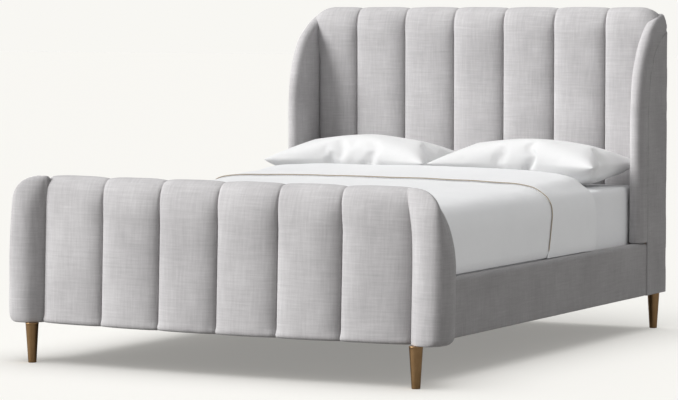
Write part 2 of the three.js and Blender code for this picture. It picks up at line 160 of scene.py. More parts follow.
def cotton(name, dark, light, bump=0.25, rough=0.82, crease=0.35):
    """Smooth bed linen: a fine weave with faint creasing."""
    m, nt, b = nodes_of(name)
    tc, u, v = surface_uv(nt)
    k = 2 * PI / 0.0009
    weave = math_node(nt, "MULTIPLY", math_node(nt, "SINE", math_node(nt, "MULTIPLY", u, k)), math_node(nt, "SINE", math_node(nt, "MULTIPLY", v, k)))
    broad = noise_at(nt, tc.outputs["Object"], 3.2, 3.0, 0.5)
    fine = noise_at(nt, tc.outputs["Object"], 38.0, 4.0, 0.62, 0.6)
    L(nt, ramp(nt, math_node(nt, "ADD", math_node(nt, "MULTIPLY", broad, 0.75), math_node(nt, "MULTIPLY", fine, 0.25)), [(0.3, dark), (0.7, light)]), b.inputs["Base Color"])
    h = math_node(nt, "ADD", math_node(nt, "MULTIPLY", weave, 0.06), math_node(nt, "MULTIPLY", fine, crease))
    bp = N(nt, "ShaderNodeBump", in_Strength=bump, in_Distance=0.004)
    L(nt, h, bp.inputs["Height"])
    L(nt, bp.outputs[0], b.inputs["Normal"])
    L(nt, math_node(nt, "MULTIPLY_ADD", fine, 0.1, rough - 0.05), b.inputs["Roughness"])
    b.inputs["Sheen Weight"].default_value = 0.12
    b.inputs["Sheen Roughness"].default_value = 0.5
    b.inputs["Specular IOR Level"].default_value = 0.25
    return m


def wood(name, axis, dark, mid, light, ring=34.0):
    m, nt, b = nodes_of(name)
    tc = N(nt, "ShaderNodeTexCoord")
    mp = N(nt, "ShaderNodeMapping")
    mp.inputs["Scale"].default_value = [0.09 if i == axis else 1.0 for i in range(3)]
    L(nt, tc.outputs["Object"], mp.inputs[0])
    grain = noise_at(nt, mp.outputs[0], ring, 5.0, 0.55, 1.4)
    fibre = noise_at(nt, mp.outputs[0], 420.0, 3.0, 0.6)
    tone = math_node(nt, "ADD", math_node(nt, "MULTIPLY", grain, 0.78), math_node(nt, "MULTIPLY", fibre, 0.22))
    L(nt, ramp(nt, tone, [(0.3, dark), (0.5, mid), (0.68, light)]), b.inputs["Base Color"])
    bp = N(nt, "ShaderNodeBump", in_Strength=0.35, in_Distance=0.0006)
    L(nt, fibre, bp.inputs["Height"])
    L(nt, bp.outputs[0], b.inputs["Normal"])
    L(nt, math_node(nt, "MULTIPLY_ADD", grain, 0.2, 0.5), b.inputs["Roughness"])
    return m


def metal(name, dark, light, rough, metallic=1.0, scale=60.0, stretch=(1, 1, 0.05), bump=0.12):
    m, nt, b = nodes_of(name)
    tc = N(nt, "ShaderNodeTexCoord")
    mp = N(nt, "ShaderNodeMapping")
    mp.inputs["Scale"].default_value = stretch
    L(nt, tc.outputs["Object"], mp.inputs[0])
    brushed = noise_at(nt, mp.outputs[0], scale * 8, 3.0, 0.6)
    broad = noise_at(nt, tc.outputs["Object"], scale * 0.4, 3.0, 0.55)
    L(nt, ramp(nt, math_node(nt, "ADD", math_node(nt, "MULTIPLY", broad, 0.6), math_node(nt, "MULTIPLY", brushed, 0.4)), [(0.3, dark), (0.7, light)]), b.inputs["Base Color"])
    bp = N(nt, "ShaderNodeBump", in_Strength=bump, in_Distance=0.0004)
    L(nt, brushed, bp.inputs["Height"])
    L(nt, bp.outputs[0], b.inputs["Normal"])
    L(nt, math_node(nt, "MULTIPLY_ADD", brushed, 0.16, rough - 0.08), b.inputs["Roughness"])
    b.inputs["Metallic"].default_value = metallic
    return m


UPHOLSTERY = linen("upholstery_linen", (0.375, 0.365, 0.372), (0.475, 0.464, 0.470), (0.585, 0.574, 0.580))
DUST = linen("dust_cover_cloth", (0.045, 0.043, 0.042), (0.06, 0.058, 0.056), (0.08, 0.077, 0.075), pitch=0.0026, bump=0.35, sheen=0.0)
SHEET = cotton("fitted_sheet_cotton", (0.79, 0.797, 0.81), (0.85, 0.857, 0.87))
DUVET_M = cotton("duvet_cotton", (0.825, 0.832, 0.842), (0.878, 0.885, 0.895))
PILLOW_M = cotton("pillow_cotton", (0.80, 0.802, 0.805), (0.85, 0.852, 0.855), bump=0.2)
PIPING = linen("tan_piping", (0.28, 0.22, 0.15), (0.37, 0.30, 0.21), (0.46, 0.38, 0.28), pitch=0.0012, sheen=0.1)
PINE_X = wood("pine_along_x", 0, (0.42, 0.27, 0.13), (0.56, 0.39, 0.20), (0.66, 0.49, 0.28))
PINE_Y = wood("pine_along_y", 1, (0.42, 0.27, 0.13), (0.55, 0.38, 0.20), (0.65, 0.48, 0.27))
PLY = wood("plywood", 2, (0.38, 0.25, 0.13), (0.50, 0.35, 0.19), (0.58, 0.43, 0.25), ring=16.0)
BRASS = metal("satin_bronzed_brass", (0.36, 0.215, 0.10), (0.50, 0.315, 0.16), 0.36)
STEEL = metal("zinc_steel", (0.34, 0.345, 0.36), (0.5, 0.505, 0.52), 0.42, stretch=(1, 1, 1), bump=0.1)
BLACK = metal("black_powder_coat", (0.018, 0.018, 0.02), (0.032, 0.032, 0.035), 0.5, metallic=0.0, scale=110.0, stretch=(1, 1, 1), bump=0.3)
RUBBER = metal("black_rubber", (0.012, 0.012, 0.012), (0.026, 0.026, 0.027), 0.8, metallic=0.0, scale=70.0, stretch=(1, 1, 1), bump=0.25)


# ------------------------------------------------------------------ mesh helpers
def make(name, verts_mm, faces, mat, body="frame", slot=None, sharp=40):
    v = np.asarray(verts_mm, float) * 0.001
    v[:, 1] += YS
    me = bpy.data.meshes.new(name)
    me.from_pydata(v.tolist(), [], faces)
    me.validate()
    bm = bmesh.new()
    bm.from_mesh(me)
    bmesh.ops.remove_doubles(bm, verts=bm.verts, dist=1e-6)
    bmesh.ops.recalc_face_normals(bm, faces=bm.faces)
    bm.to_mesh(me)
    bm.free()
    o = bpy.data.objects.new(name, me)
    bpy.context.scene.collection.objects.link(o)
    if mat:
        me.materials.append(mat)
    finish_mesh(o, sharp)
    return o


def finish_mesh(o, sharp=40):
    me = o.data
    me.polygons.foreach_set("use_smooth", [True] * len(me.polygons))
    me.set_sharp_from_angle(angle=math.radians(sharp))
    me.update()


def loft(rings, closed_caps=True):
    """Vertices and faces of a closed solid through rings of equal length; ends are fans round a centre."""
    R, n = len(rings), len(rings[0])
    verts = [tuple(p) for ring in rings for p in ring]
    faces = []
    for r in range(R - 1):
        for i in range(n):
            j = (i + 1) % n
            faces.append((r * n + i, r * n + j, (r + 1) * n + j, (r + 1) * n + i))
    if closed_caps:
        for r in (0, R - 1):
            c = len(verts)
            verts.append(tuple(np.mean(np.asarray(rings[r], float), axis=0)))
            for i in range(n):
                j = (i + 1) % n
                faces.append((c, r * n + j, r * n + i) if r == 0 else (c, r * n + i, r * n + j))
    return verts, faces


def evaluated(o):
    dg = bpy.context.evaluated_depsgraph_get()
    me = bpy.data.meshes.new_from_object(o.evaluated_get(dg))
    o.modifiers.clear()
    old = o.data
    o.data = me
    bpy.data.meshes.remove(old)
    return o


def drop(o):
    me = o.data
    bpy.data.objects.remove(o)
    bpy.data.meshes.remove(me)


def boolean(o, other, op="DIFFERENCE"):
    m = o.modifiers.new("b", "BOOLEAN")
    m.operation = op
    m.solver = "EXACT"
    m.object = other
    bpy.context.view_layer.update()
    evaluated(o)
    return o


def remesh(o, size, smooth=0):
    m = o.modifiers.new("r", "REMESH")
    m.mode = "VOXEL"
    m.voxel_size = size
    if smooth:
        s = o.modifiers.new("s", "SMOOTH")
        s.factor = 0.5
        s.iterations = smooth
    bpy.context.view_layer.update()
    evaluated(o)
    return o


def block(name, x, y, z):
    X, Y, Z = x, y, z
    v = [(X[i], Y[j], Z[k]) for i in (0, 1) for j in (0, 1) for k in (0, 1)]
    f = [(0, 1, 3, 2), (4, 6, 7, 5), (0, 4, 5, 1), (2, 3, 7, 6), (0, 2, 6, 4), (1, 5, 7, 3)]
    return make(name, v, f, None)


def largest_part(o):
    """Keeps the biggest connected piece of a mesh."""
    bm = bmesh.new()
    bm.from_mesh(o.data)
    left = set(bm.verts)
    parts = []
    while left:
        seed = left.pop()
        group, stack = {seed}, [seed]
        while stack:
            for e in stack.pop().link_edges:
                for w in e.verts:
                    if w not in group:
                        group.add(w)
                        stack.append(w)
        left -= group
        parts.append(group)
    if len(parts) > 1:
        parts.sort(key=len)
        bmesh.ops.delete(bm, geom=[v for g in parts[:-1] for v in g], context="VERTS")
        bm.to_mesh(o.data)
    bm.free()


def smoothstep(t):
    t = np.clip(t, 0.0, 1.0)
    return t * t * (3 - 2 * t)


def catmull(points, per=8, closed=False):
    p = np.asarray(points, float)
    n = len(p)
    out = []
    for i in range(n if closed else n - 1):
        a = p[(i - 1) % n] if closed or i > 0 else 2 * p[0] - p[1]
        b, c = p[i], p[(i + 1) % n]
        d = p[(i + 2) % n] if closed or i + 2 < n else 2 * p[-1] - p[-2]
        for t in np.linspace(0, 1, per, endpoint=False):
            out.append(0.5 * ((2 * b) + (-a + c) * t + (2 * a - 5 * b + 4 * c - d) * t ** 2 + (-a + 3 * b - 3 * c + d) * t ** 3))
    if not closed:
        out.append(p[-1])
    return np.array(out)


def nz(x, y, z, s):
    return noise.noise(Vector((x * s, y * s, z * s)))


def piece(o, nodes, body="frame"):
    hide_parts(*nodes)
    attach(o, body)
    return o


# ------------------------------------------------------------------ channels
FB = dict(bottom=150.0, roll=540.0, crest_z=662.0, back=(78.0, 628.0), end=612.0, limit=91.6, seam=8.0, crown=40.0)
HB = dict(bottom=300.0, roll=1200.0, crest_z=1292.0, back=(2232.0, 1262.0), end=1240.0, limit=2246.0, seam=8.0, crown=36.0)


def fb_front(x, z):
    return 5 + 40 * (x / 772.0) ** 2 + 0.04 * (z - 400)


def path_at(kind, x):
    """Points up the front, over the crest and down behind: arrays y, z, ny, nz, k."""
    if kind == "fb":
        d = FB
        cy = 58 + 12 * (x / 772.0) ** 2
        front = lambda z: fb_front(x, z)
    else:
        d = HB
        cy = 2216.0
        front = lambda z: 2172.0
    step = 9.0 if kind == "fb" else 13.0
    rows = []
    zs = np.concatenate([[d["bottom"], d["bottom"] + 1.2, d["bottom"] + 3, d["bottom"] + 6], np.linspace(d["bottom"] + 11, d["roll"], int((d["roll"] - d["bottom"]) / step))])
    for z in zs:
        rows.append((front(z), z, -1.0, 0.0, 0.0))

    def quarter(a, b, start, steps, k0):
        for i in range(1, steps + 1):
            p = start + (PI / 2) * i / steps
            ny, nzz = -math.cos(p) / a, math.sin(p) / b
            l = math.hypot(ny, nzz)
            rows.append((cy - a * math.cos(p), d["crest_z"] - b + b * math.sin(p), ny / l, nzz / l, k0 + 0.5 * i / steps))
    quarter(cy - front(d["roll"]), d["crest_z"] - d["roll"], 0.0, 22, 0.0)
    quarter(d["back"][0] - cy, d["crest_z"] - d["back"][1], PI / 2, 12, 0.5)
    rows.append((d["back"][0], d["end"] + 7, 1.0, 0.0, 1.0))
    rows.append((d["back"][0], d["end"] + 1.5, 1.0, 0.0, 1.0))
    rows.append((d["back"][0], d["end"], 1.0, 0.0, 1.0))
    return np.array(rows)


def shoulder_drop(x):
    """How far the headboard's top edge has rounded down by the time it reaches x."""
    q = min(115.0, max(0.0, abs(x) - 713.0))
    return 0.8 * (118.0 - math.sqrt(118.0 ** 2 - q * q))


def over_wing(kind, x, z):
    """The outermost headboard channels widen over the wings near the top and round down with them."""
    if kind != "hb":
        return x, 0.0
    k = float(smoothstep((z - 1085) / 190))
    q = max(0.0, (abs(x) - 582.5) / 183.5)
    x = x + math.copysign(40.0 * q * q * k, x)
    return x, shoulder_drop(x) * float(smoothstep((z - 1120) / 160))


def channel(name, kind, x0, x1, seed):
    d = FB if kind == "fb" else HB
    M = 31
    ts = np.linspace(0, 1, M)
    # more columns near the seams, where the pad turns in
    ts = ts + 0.055 * np.sin(2 * PI * ts) * -1.0
    cols = []
    for t in ts:
        x = x0 + (x1 - x0) * t
        cols.append((x, t, path_at(kind, x)))
    S = len(cols[0][2])
    rings = []
    half = (x1 - x0) / 2
    for s in range(S):
        ring = []
        for x, t, path in cols:
            y, z, ny, nzz, k = path[s]
            e = abs(2 * t - 1)
            crown = (max(0.0, 1 - e ** 2.7)) ** 0.54
            seam = d["seam"] + (d["crown"] * 0.8 - d["seam"]) * math.sin(PI * min(1.0, k)) ** 1.3
            if kind == "fb":
                # the seam stops just above the lower edge, where the cloth is gathered under
                seam += 11 * float(smoothstep((186 - z) / 34))
            T = seam + (d["crown"] - seam) * crown
            back = float(smoothstep((k - 0.55) / 0.45))
            T = T * (1 - back) + (d["seam"] + 1.3 * crown) * back
            dist = (1 - e) * half
            w = nz(x, 0, z, 0.011) * 1.5 * crown * (1 - back)
            w += 0.55 * math.exp(-dist / 13.0) * math.sin(z * 0.21 + 3 * nz(x, seed, z, 0.02)) * (1 - back)
            if kind == "fb":
                g = math.exp(-(z - 150) / 36.0)
                w += 1.7 * g * nz(x * 1.0, seed * 3.1, z * 0.12, 0.055) * (1 - back)
            top = math.exp(-abs(k - 0.38) / 0.22) * math.exp(-dist / 26.0)
            w += 1.0 * top * nz(x, y, z, 0.05)
            T += w
            r = 17.0 if kind == "fb" else 11.0
            low = z - d["bottom"]
            if k == 0 and low < r:
                T -= (r - math.sqrt(max(0.0, r * r - (r - low) ** 2))) * 0.9
            if k == 1 and s == S - 1:
                T -= 4
            T = max(T, 4.0)
            xx = x
            if kind == "fb":
                xx = x - 11.0 * (x / 772.0) ** 3 * float(smoothstep((z - 520) / 170.0))
            xx, dz = over_wing(kind, xx, z)
            ring.append((xx, min(y + ny * T, d["limit"]), z + nzz * T - dz))
        for x, t, path in (cols[-1], cols[M // 2], cols[0]):
            y, z, ny, nzz, k = path[s]
            o = 1.0 if 0 < k < 1 else 0.45
            xx = x - (11.0 * (x / 772.0) ** 3 * float(smoothstep((z - 520) / 170.0)) if kind == "fb" else 0.0)
            xx, dz = over_wing(kind, xx, z)
            ring.append((xx, y + ny * o, z + nzz * o - dz))
        rings.append(ring)
    v, f = loft(rings)
    o = make(name, v, f, UPHOLSTERY, sharp=55)
    return o


FB_SEAMS = [-772, -502, -248, 0, 248, 502, 772]
for i in range(6):
    o = channel(f"footboard_channel_pad_{i + 2}", "fb", FB_SEAMS[i], FB_SEAMS[i + 1], i + 1.0)
    piece(o, [f"footboard_channel_{i + 2}"])
HB_SEAMS = [-766, -582.5, -349.5, -116.5, 116.5, 349.5, 582.5, 766]
for i in range(7):
    o = channel(f"headboard_channel_pad_{i + 1}", "hb", HB_SEAMS[i], HB_SEAMS[i + 1], 20.0 + i)
    piece(o, [f"headboard_channel_{i + 1}"])

# ------------------------------------------------------------------ footboard corners
INNER = [[772.3, 48], [785, 33], [801, 18], [822, 5], [846, 1], [870, 6], [886, 28], [892, 57], [888, 88], [876, 122], [858, 149], [840, 172], [824, 189.5]]
OUTER = [[772.3, 33], [781, 15], [795, 0], [817, -15], [848, -22], [885, -17], [910, 6], [917, 43], [909, 82], [894, 122], [876, 154], [856, 180], [834, 192]]


def dome(name, outline, top, roll, levels, grow=0.0):
    x0, cy = 772.3, 60.0
    pts = catmull(outline, 6)
    fore = min(q[1] for q in outline)
    rings = []
    for z in levels:
        u = max(0.0, (z - 400) / 300.0)
        rear = math.sqrt(max(0.0, 1 - (u * 0.94) ** 2))
        r = max(0.0, (z - (top - roll)) / roll)
        s = (1 - (0.975 * r) ** 2.5) ** 0.42
        wide = s
        if not grow:
            # the outer face stays full nearly to the top, while the rear edge rolls away early
            r = max(0.0, (z - (top - 96)) / 96)
            wide = (1 - (0.975 * r) ** 2.8) ** 0.42
            wide *= 1 + 0.035 * math.sin(PI * min(1.0, max(0.0, (z - 150) / 550)))
        low = z - 150
        if low < 32 and not grow:
            k = 1 - math.sqrt(max(0.0, 1 - ((32 - low) / 32) ** 2))
            s *= 1 - 0.10 * k
            wide *= 1 - 0.15 * k
        ring = []
        for x, y in pts:
            g = max(0.0, min(1.0, (y - fore) / 66.0))
            yy = fore + (y - fore) * rear
            x = x0 + (x - x0) * (1 - (1 - rear) * g)
            lean = 0.04 * (z - 400) * max(0.0, min(1.0, (150 - y) / 120))
            mid = min(cy, 40.0 * rear + 10.0)
            px, py = x0 + (x - x0) * wide, mid + (yy - mid) * s + lean
            if grow:
                dx, dy = px - 820, py - 90
                px, py = px + grow * dx / 60, py + grow * dy / 90
            ring.append((px, py, z + (grow if grow and z > 400 else 0)))
        # the pad runs a few millimetres in behind the neighbouring channel's edge
        under = grow if grow else 7.0
        if not grow:
            ring.insert(0, (x0 - under, ring[0][1] + 1.5, ring[0][2]))
        ring.append((x0 - under, ring[-1][1], ring[-1][2]))
        rings.append(ring)
    v, f = loft(rings)
    return make(name, v, f, None)


def corner():
    lv = np.concatenate([[150, 150.8, 152, 154, 157, 161, 166, 172, 178], np.linspace(186, 560, 25), 560 + 140 * np.sin(np.linspace(0.08, PI / 2, 20))])
    out = dome("c_out", OUTER, 700, 140, lv)
    # the cloth sags a little between the front seam and the rear edge, and gathers at the foot
    for v in out.data.vertices:
        x, y, z = v.co.x * 1000, (v.co.y - YS) * 1000, v.co.z * 1000
        k = min(1.0, max(0.0, (x - 776) / 20))
        n = v.normal
        v.co += n * 0.001 * k * (1.6 * nz(x, y, z, 0.010) + 1.3 * math.exp(-(z - 150) / 34.0) * nz(x, y, z * 0.12, 0.055))
    li = np.concatenate([[120], np.linspace(150, 520, 12), 520 + 120 * np.sin(np.linspace(0.1, PI / 2, 14))])
    inner = dome("c_in", INNER, 640, 120, li, grow=0.6)
    boolean(out, inner)
    for c in (block("c_a", (700, 793), (78.6, 260), (100, 760)), block("c_b", (700, 990), (190.7, 300), (100, 760))):
        boolean(out, c)
        drop(c)
    drop(inner)
    remesh(out, 0.004, 2)
    largest_part(out)
    co = np.array([v.co for v in out.data.vertices])
    span = (co.max(0) - co.min(0)) * 1000
    assert span[0] > 130 and span[1] > 180 and span[2] > 530, ("the corner cover lost part of itself when it was hollowed", span)
    return out


def former():
    lv = np.concatenate([np.linspace(150, 520, 14), 520 + 120 * np.sin(np.linspace(0.1, PI / 2, 14))])
    o = dome("c_former", INNER, 640, 120, lv, grow=-0.6)
    for c in (block("c_c", (700, 793.6), (78.0, 260), (100, 760)), block("c_d", (700, 990), (190.4, 300), (100, 760))):
        boolean(o, c)
        drop(c)
    largest_part(o)
    return o


board = former()
board.name = "footboard_return_board_right"
board.data.materials.clear()
board.data.materials.append(PLY)
twin_mesh = board.data.copy()
for v in twin_mesh.vertices:
    v.co.x = -v.co.x
twin_mesh.flip_normals()
twin = bpy.data.objects.new("footboard_return_board_left", twin_mesh)
bpy.context.scene.collection.objects.link(twin)
for o, side in ((board, "right"), (twin, "left")):
    finish_mesh(o, 50)
    piece(o, [f"footboard_return_{side}"])

right = corner()
right.name = "footboard_corner_pad_8"
right.data.materials.clear()
right.data.materials.append(UPHOLSTERY)
for v in right.data.vertices:
    x, z = v.co.x * 1000, v.co.z * 1000
    w = 11.0 * float(smoothstep((z - 520) / 170.0)) * max(0.0, 1 - (x - 772) / 70)
    v.co.x -= w * 0.001
left_mesh = right.data.copy()
for v in left_mesh.vertices:
    v.co.x = -v.co.x
left_mesh.flip_normals()
left = bpy.data.objects.new("footboard_corner_pad_1", left_mesh)
bpy.context.scene.collection.objects.link(left)
for o, n in ((right, "footboard_channel_8"), (left, "footboard_channel_1")):
    finish_mesh(o, 60)
    piece(o, [n])

# ------------------------------------------------------------------ headboard wings
WING_PATH = [[1966, 150], [1966, 420], [1966, 650], [1966, 870], [1968, 936], [1974, 990], [1985, 1042], [1996, 1082],
             [2012, 1120], [2033, 1160], [2063, 1200], [2104, 1237], [2152, 1268], [2200, 1290], [2246, 1302]]


def inset(path, dist):
    out = []
    for i, (y, z) in enumerate(path):
        a, b = path[max(0, i - 1)], path[min(len(path) - 1, i + 1)]
        ty, tz = b[0] - a[0], b[1] - a[1]
        l = math.hypot(ty, tz)
        dd = dist[i] if hasattr(dist, "__len__") else dist
        out.append([y + tz / l * dd, z if i == 0 else z - ty / l * dd])
    return out


def wing_whole():
    path = [list(p) for p in catmull(WING_PATH, 6)]
    n = len(path)
    mid, half = (766.3 + 828) / 2, (828 - 766.3) / 2
    rings = []
    zz = np.array([p[1] for p in path])
    fade = smoothstep((zz - 1190) / 110)
    for t in np.sin(np.linspace(-PI / 2, PI / 2, 29)):
        x = mid + half * t
        rnd = 1 - math.sqrt(max(0.0, 1 - (t * 0.985) ** 2))
        top = 12 * rnd if t < 0 else 16 * rnd + 52 * t ** 2.6
        dist = 34 * rnd * (1 - fade) + top * fade
        line = inset(path, dist)
        rear = 2246 - 12 * rnd
        kept = [line[0]]
        for a, b in zip(line, line[1:]):
            if b[0] >= rear:
                q = (rear - a[0]) / max(1e-6, b[0] - a[0])
                kept.append([rear, a[1] + (b[1] - a[1]) * q])
                break
            kept.append(b)
        if kept[-1][0] < rear:
            kept.append([rear, kept[-1][1] + 0.5])
        kept = np.array(kept)
        run = np.concatenate([[0], np.cumsum(np.hypot(*np.diff(kept, axis=0).T))])
        at = np.linspace(0, run[-1], n)
        line = [[float(np.interp(d, run, kept[:, 0])), float(np.interp(d, run, kept[:, 1]))] for d in at]
        zt = line[-1][1]
        back = [[rear, z] for z in np.linspace(zt - 12, 150, 26)]
        fl = [[rear + (line[0][0] - rear) * q, 150] for q in np.linspace(0, 1, 8)[1:-1]]
        rings.append([(x, y, z) for y, z in line + back + fl])
    v, f = loft(rings)
    return make("w_whole", v, f, None)


def behind(name, d, bottom, x0, x1):
    path = [list(p) for p in catmull(WING_PATH, 4)]
    p = inset(path, d)
    p[0][1] = bottom
    p += [[2300, p[-1][1] + 12], [2300, bottom]]
    v, f = loft([[(x, y, z) for y, z in p] for x in (x0, x1)])
    return make(name, v, f, None)


whole = wing_whole()
for v in whole.data.vertices:
    x, y, z = v.co.x * 1000, (v.co.y - YS) * 1000, v.co.z * 1000
    v.co += v.normal * 0.001 * 1.0 * nz(x, y, z, 0.012)
cover = whole.copy()
cover.data = whole.data.copy()
bpy.context.scene.collection.objects.link(cover)
cut = behind("w_cut", 72.6, 149, 818.6, 900)
boolean(cover, cut, "INTERSECT")
drop(cut)
remesh(cover, 0.0036, 1)
largest_part(cover)
cut = behind("w_cut", 74.6, 100, 789.6, 900)
boolean(whole, cut)
drop(cut)
for c in (block("k", (700, 900), (1900, 2041.2), (100, 368)), block("k", (700, 790), (2171.6, 2300), (100, 1152)),
          block("k", (700, 766), (2171.6, 2300), (100, 1400)), block("k", (700, 900), (2232.4, 2300), (100, 1240))):
    boolean(whole, c)
    drop(c)
remesh(whole, 0.0045, 3)
largest_part(whole)
whole.name = "headboard_wing_roll_right"
cover.name = "headboard_side_panel_right"
for o, n in ((whole, "headboard_wing_pad"), (cover, "headboard_side_cover")):
    o.data.materials.clear()
    o.data.materials.append(UPHOLSTERY)
    twin_mesh = o.data.copy()
    for v in twin_mesh.vertices:
        v.co.x = -v.co.x
    twin_mesh.flip_normals()
    twin = bpy.data.objects.new(o.name.replace("right", "left"), twin_mesh)
    bpy.context.scene.collection.objects.link(twin)
    for p, side in ((o, "right"), (twin, "left")):
        finish_mesh(p, 60)
        piece(p, [f"{n}_{side}"])

# ------------------------------------------------------------------ rails
for side, s in (("right", 1), ("left", -1)):
    prof = [(810.4, 150), (816, 150), (820, 151), (822.4, 153.5), (823, 158)]
    prof += [(823, z) for z in np.linspace(180, 345, 12)]
    prof += [(822.6, 354), (820.5, 360), (816.5, 364), (811, 366), (800, 366.6), (790, 366.3), (782, 365.6), (778, 363), (776, 358), (776, 351.6), (790, 351.6), (810.4, 351.6), (810.4, 300), (810.4, 220)]
    rings = []
    ys = np.concatenate([[192.8, 193.4, 195, 198], np.linspace(206, 2028, 120), [2036, 2039, 2040.2, 2040.6]])
    for y in ys:
        e = min(y - 192.8, 2040.6 - y)
        sh = 2.2 * (1 - min(1.0, e / 4.0)) ** 2
        ring = []
        for x, z in prof:
            w = 0.0
            if x > 811 or z > 352:
                w = 1.1 * nz(x * 0.3 + 40 * s, y, z, 0.008) + 0.5 * nz(x, y, z, 0.03) * math.exp(-abs(z - 360) / 12)
            dx, dz = (w if x > 815 else 0.0), (w if z > 360 else 0.0)
            cx, cz = (x - 800) / 25, (z - 260) / 110
            ring.append((s * (x + dx - sh * cx), y, z + dz - sh * cz * 0.6))
        rings.append(ring)
    v, f = loft(rings)
    # the section is an L, so its end caps fan from a point on the upright
    for k in (len(v) - 1, len(v) - 2):
        yy = v[k][1]
        v[k] = (s * 815.5, yy, 357.0)
    o = make(f"side_rail_cover_{side}", v, f, UPHOLSTERY, sharp=50)
    piece(o, [f"side_rail_pad_{side}"])

# ------------------------------------------------------------------ back pad of the footboard, back cover of the headboard
def soft_slab(name, x, y, z, r, nx, ny, nzn, mat, wob=0.6, seed=0.0):
    """A box with rounded edges, gridded so that it can carry cloth unevenness."""
    bm = bmesh.new()
    bmesh.ops.create_cube(bm, size=2.0)
    for axis, cuts in ((0, nx), (1, ny), (2, nzn)):
        if cuts:
            edges = [e for e in bm.edges if abs(abs((e.verts[0].co - e.verts[1].co)[axis]) - 2.0) < 1e-6 or
                     (abs((e.verts[0].co - e.verts[1].co)[axis]) > 1e-6 and abs((e.verts[0].co - e.verts[1].co)[(axis + 1) % 3]) < 1e-6 and abs((e.verts[0].co - e.verts[1].co)[(axis + 2) % 3]) < 1e-6)]
            bmesh.ops.subdivide_edges(bm, edges=edges, cuts=cuts, use_grid_fill=True)
    c = [(x[0] + x[1]) / 2, (y[0] + y[1]) / 2, (z[0] + z[1]) / 2]
    h = [(x[1] - x[0]) / 2, (y[1] - y[0]) / 2, (z[1] - z[0]) / 2]
    for v in bm.verts:
        p = [v.co[i] * h[i] for i in range(3)]
        q = [max(-(h[i] - r), min(h[i] - r, p[i])) for i in range(3)]
        d = Vector([p[i] - q[i] for i in range(3)])
        if d.length > 1e-6:
            d = d.normalized() * r
        w = wob * noise.noise(Vector((p[0] * 0.012 + seed, p[1] * 0.02, p[2] * 0.012)))
        n = d.normalized() if d.length > 1e-6 else Vector((0, 0, 0))
        co = [c[i] + q[i] + d[i] + n[i] * w for i in range(3)]
        v.co = (co[0] * 0.001, co[1] * 0.001 + YS, co[2] * 0.001)
    bmesh.ops.recalc_face_normals(bm, faces=bm.faces)
    me = bpy.data.meshes.new(name)
    bm.to_mesh(me)
    bm.free()
    o = bpy.data.objects.new(name, me)
    bpy.context.scene.collection.objects.link(o)
    me.materials.append(mat)
    finish_mesh(o, 60)
    return o


o = soft_slab("footboard_inside_pad", (-771.3, 771.3), (78.5, 92), (300, 608), 5.5, 60, 6, 20, UPHOLSTERY)
piece(o, ["footboard_back_pad"])

back = []
nbx, nbz = 60, 42
for j in range(nbz + 1):
    for i in range(nbx + 1):
        fx, fz = i / nbx, j / nbz
        x, z = -819 + 1638 * fx, 156.5 + 1081 * fz
        pull = 0.5 + 0.5 * math.sin(fx * PI * 14) * math.exp(-min(fz, 1 - fz) * 60) + 0.5 * math.sin(fz * PI * 10) * math.exp(-min(fx, 1 - fx) * 60)
        edge = min(fx, 1 - fx, fz, 1 - fz)
        y = 2235.6 + 0.5 * nz(x, 7, z, 0.006) + 0.45 * pull * math.exp(-edge * 40)
        back.append((x, y, z))
bf = [(j * (nbx + 1) + i, j * (nbx + 1) + i + 1, (j + 1) * (nbx + 1) + i + 1, (j + 1) * (nbx + 1) + i) for j in range(nbz) for i in range(nbx)]
o = make("headboard_dust_cover", back, bf, DUST, sharp=60)
m = o.modifiers.new("t", "SOLIDIFY")
m.thickness = 0.0016
m.offset = 0
bpy.context.view_layer.update()
evaluated(o)
finish_mesh(o, 60)
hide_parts("headboard_back_cover")
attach(o, "frame")

# ------------------------------------------------------------------ legs
def lathe(name, profile, cx, cy, mat, seg=64):
    rings = []
    for r, z in profile:
        rings.append([(cx + r * math.cos(2 * PI * i / seg), cy + r * math.sin(2 * PI * i / seg), z) for i in range(seg)])
    v, f = loft(rings)
    return make(name, v, f, mat, sharp=30)


for tag, lx, ly in (("front_right", 806, -6), ("front_left", -806, -6), ("back_right", 786, 2206), ("back_left", -786, 2206)):
    prof = [(13.2, 0.05), (14.6, 0.4), (15.3, 1.3), (15.5, 2.4)] + [(15.5 + (24.4 - 15.5) * q, 2.4 + 141.6 * q) for q in np.linspace(0.02, 1, 22)] + [(24.9, 145.2), (25.0, 146.4), (25.0, 148.6), (24.4, 149.5)]
    o = lathe(f"tapered_leg_{tag}", prof, lx, ly, BRASS)
    piece(o, [f"leg_{tag}"])

